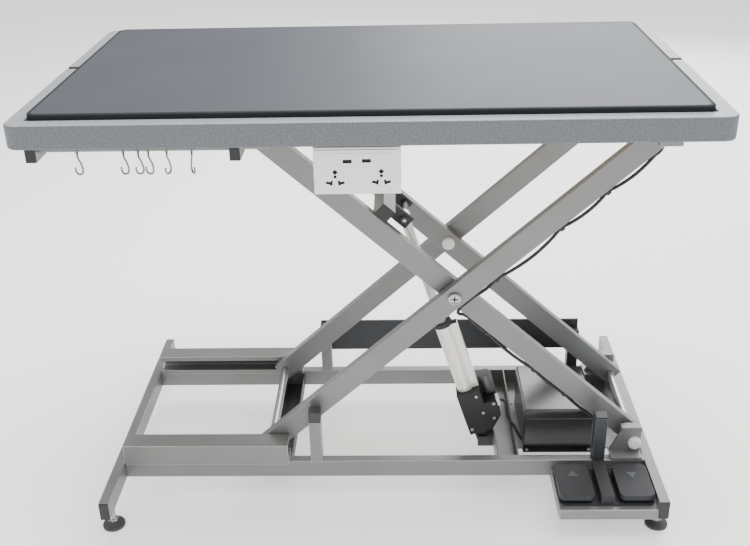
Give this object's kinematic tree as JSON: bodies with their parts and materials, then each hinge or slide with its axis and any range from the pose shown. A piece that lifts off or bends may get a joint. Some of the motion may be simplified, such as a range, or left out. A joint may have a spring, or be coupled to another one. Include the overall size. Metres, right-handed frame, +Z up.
{
  "type": "veterinary exam table",
  "caption": "Electric scissor-lift exam table with a rubber mat top, crossed tube arms on a floor frame, linear actuator, foot switch, hook rail and socket box.",
  "frame": {"origin": "on the floor under the middle of the table top", "axes": "+X to the right along the long side, +Y to the back, +Z up; the hooks, socket and foot switch face -Y"},
  "size_m": [1.2, 0.7, 0.8946],
  "materials": {
    "frame_paint": "satin",
    "dark_paint": "satin",
    "zinc_steel": "satin",
    "chrome": "polished",
    "black_plastic": "matte",
    "charcoal_plastic": "matte",
    "rubber": "matte",
    "white_plastic": "gloss",
    "nylon": "satin",
    "rim_plastic": "pebbled",
    "board": "raw",
    "mat_rubber": "satin",
    "silver_tube": "satin"
  },
  "bodies": {
    "base": {"cross_tube_left": "frame_paint", "cross_tube_right": "frame_paint", "side_tube_front": "frame_paint", "side_tube_rear": "frame_paint", "lower_rail_front": "frame_paint", "lower_rail_rear": "frame_paint", "stop_post_front_left": "frame_paint", "stop_post_front_right": "dark_paint", "stop_post_rear_left": "frame_paint", "stop_post_rear_right": "dark_paint", "stop_cap_front": "rubber", "stop_cap_rear": "rubber", "pivot_bracket_front": "frame_paint", "pivot_bracket_rear": "frame_paint", "lower_pivot_shaft": "nylon", "rear_bar": "dark_paint", "mid_cross_channel": "dark_paint", "lift_cross_channel": "frame_paint", "control_box": "black_plastic", "pedal_tray": "frame_paint", "footswitch_base": "charcoal_plastic", "motor_lead": "rubber"},
    "inner_arms": {"inner_arm_front": "frame_paint", "inner_arm_rear": "frame_paint", "upper_axle": "zinc_steel", "lift_cross_tube": "dark_paint", "power_lead_lower": "rubber"},
    "outer_arms": {"outer_arm_front": "frame_paint", "outer_arm_rear": "frame_paint", "lower_axle": "zinc_steel", "power_lead_upper": "rubber"},
    "table": {"table_rim": "rim_plastic", "table_board": "board", "table_mat": "mat_rubber", "upper_rail_front": "frame_paint", "upper_rail_rear": "frame_paint", "upper_bracket_front": "frame_paint", "upper_bracket_rear": "frame_paint", "hook_rail": "frame_paint", "socket_box": "white_plastic"},
    "actuator": {"actuator_tube": "silver_tube", "actuator_gearbox": "black_plastic", "actuator_motor": "dark_paint"},
    "rod": {"actuator_rod": "chrome"},
    "pedal_left": {"pedal_left": "charcoal_plastic"},
    "pedal_right": {"pedal_right": "charcoal_plastic"},
    "hook_1": {"hook_1": "chrome"},
    "hook_2": {"hook_2": "chrome"},
    "hook_3": {"hook_3": "chrome"},
    "hook_4": {"hook_4": "chrome"},
    "hook_5": {"hook_5": "chrome"},
    "hook_6": {"hook_6": "chrome"},
    "foot_front_left": {"foot_front_left": "rubber"},
    "foot_front_right": {"foot_front_right": "rubber"},
    "foot_rear_left": {"foot_rear_left": "rubber"},
    "foot_rear_right": {"foot_rear_right": "rubber"},
    "lower_roller_front": {"lower_roller_front": "nylon"},
    "lower_roller_rear": {"lower_roller_rear": "nylon"},
    "upper_roller_front": {"upper_roller_front": "nylon"},
    "upper_roller_rear": {"upper_roller_rear": "nylon"}
  },
  "joints": [
    {"name": "lift", "type": "hinge", "parent": "base", "child": "inner_arms", "pos_m": [0.542, 0, 0.1143], "axis": [0, 1, 0], "range_deg": [-37.6, 1.2]},
    {"name": "scissor_cross", "type": "hinge", "parent": "inner_arms", "child": "outer_arms", "pos_m": [0.15695, 0, 0.4593], "axis": [0, 1, 0], "range_deg": [-2.5, 75.3]},
    {"name": "table_level", "type": "hinge", "parent": "outer_arms", "child": "table", "pos_m": [0.542, 0, 0.8043], "axis": [0, 1, 0], "range_deg": [-37.7, 1.3]},
    {"name": "actuator_swing", "type": "hinge", "parent": "base", "child": "actuator", "pos_m": [0.232, -0.063, 0.0585], "axis": [0, 1, 0], "range_deg": [-50.94, 1.72]},
    {"name": "rod_slide", "type": "slide", "parent": "actuator", "child": "rod", "axis": [-0.3056, 0, 0.9522], "range_m": [-0.1719, 0.006]},
    {"name": "pedal_left_press", "type": "hinge", "parent": "base", "child": "pedal_left", "pos_m": [0.401, -0.2144, 0.0868], "axis": [1, 0, 0], "range_deg": [0, 4], "stiffness_Nm_per_rad": 20},
    {"name": "pedal_right_press", "type": "hinge", "parent": "base", "child": "pedal_right", "pos_m": [0.521, -0.2144, 0.0868], "axis": [1, 0, 0], "range_deg": [0, 4], "stiffness_Nm_per_rad": 20},
    {"name": "hook_1_swing", "type": "hinge", "parent": "table", "child": "hook_1", "pos_m": [-0.489, -0.32, 0.8343], "axis": [1, 0, 0], "range_deg": [-60, 60]},
    {"name": "hook_2_swing", "type": "hinge", "parent": "table", "child": "hook_2", "pos_m": [-0.411, -0.32, 0.8343], "axis": [1, 0, 0], "range_deg": [-60, 60]},
    {"name": "hook_3_swing", "type": "hinge", "parent": "table", "child": "hook_3", "pos_m": [-0.386, -0.32, 0.8343], "axis": [1, 0, 0], "range_deg": [-60, 60]},
    {"name": "hook_4_swing", "type": "hinge", "parent": "table", "child": "hook_4", "pos_m": [-0.369, -0.32, 0.8343], "axis": [1, 0, 0], "range_deg": [-60, 60]},
    {"name": "hook_5_swing", "type": "hinge", "parent": "table", "child": "hook_5", "pos_m": [-0.338, -0.32, 0.8343], "axis": [1, 0, 0], "range_deg": [-60, 60]},
    {"name": "hook_6_swing", "type": "hinge", "parent": "table", "child": "hook_6", "pos_m": [-0.296, -0.32, 0.8343], "axis": [1, 0, 0], "range_deg": [-60, 60]},
    {"name": "foot_front_left_level", "type": "slide", "parent": "base", "child": "foot_front_left", "axis": [0, 0, 1], "range_m": [-0.015, 0.015]},
    {"name": "foot_front_right_level", "type": "slide", "parent": "base", "child": "foot_front_right", "axis": [0, 0, 1], "range_m": [-0.015, 0.015]},
    {"name": "foot_rear_left_level", "type": "slide", "parent": "base", "child": "foot_rear_left", "axis": [0, 0, 1], "range_m": [-0.015, 0.015]},
    {"name": "foot_rear_right_level", "type": "slide", "parent": "base", "child": "foot_rear_right", "axis": [0, 0, 1], "range_m": [-0.015, 0.015]},
    {"name": "lower_roller_front_roll", "type": "hinge", "parent": "outer_arms", "child": "lower_roller_front", "pos_m": [-0.2281, -0.179, 0.1143], "axis": [0, 1, 0], "continuous": true},
    {"name": "lower_roller_rear_roll", "type": "hinge", "parent": "outer_arms", "child": "lower_roller_rear", "pos_m": [-0.2281, 0.179, 0.1143], "axis": [0, 1, 0], "continuous": true},
    {"name": "upper_roller_front_roll", "type": "hinge", "parent": "inner_arms", "child": "upper_roller_front", "pos_m": [-0.2281, -0.152, 0.8043], "axis": [0, 1, 0], "continuous": true},
    {"name": "upper_roller_rear_roll", "type": "hinge", "parent": "inner_arms", "child": "upper_roller_rear", "pos_m": [-0.2281, 0.152, 0.8043], "axis": [0, 1, 0], "continuous": true}
  ],
  "couplings": [
    {"joint": "scissor_cross", "follows": "lift", "ratio": -2},
    {"joint": "table_level", "follows": "lift", "ratio": 1},
    {"joint": "actuator_swing", "follows": "lift", "ratio": 1.352},
    {"joint": "rod_slide", "follows": "lift", "m_per_rad": 0.26117}
  ]
}
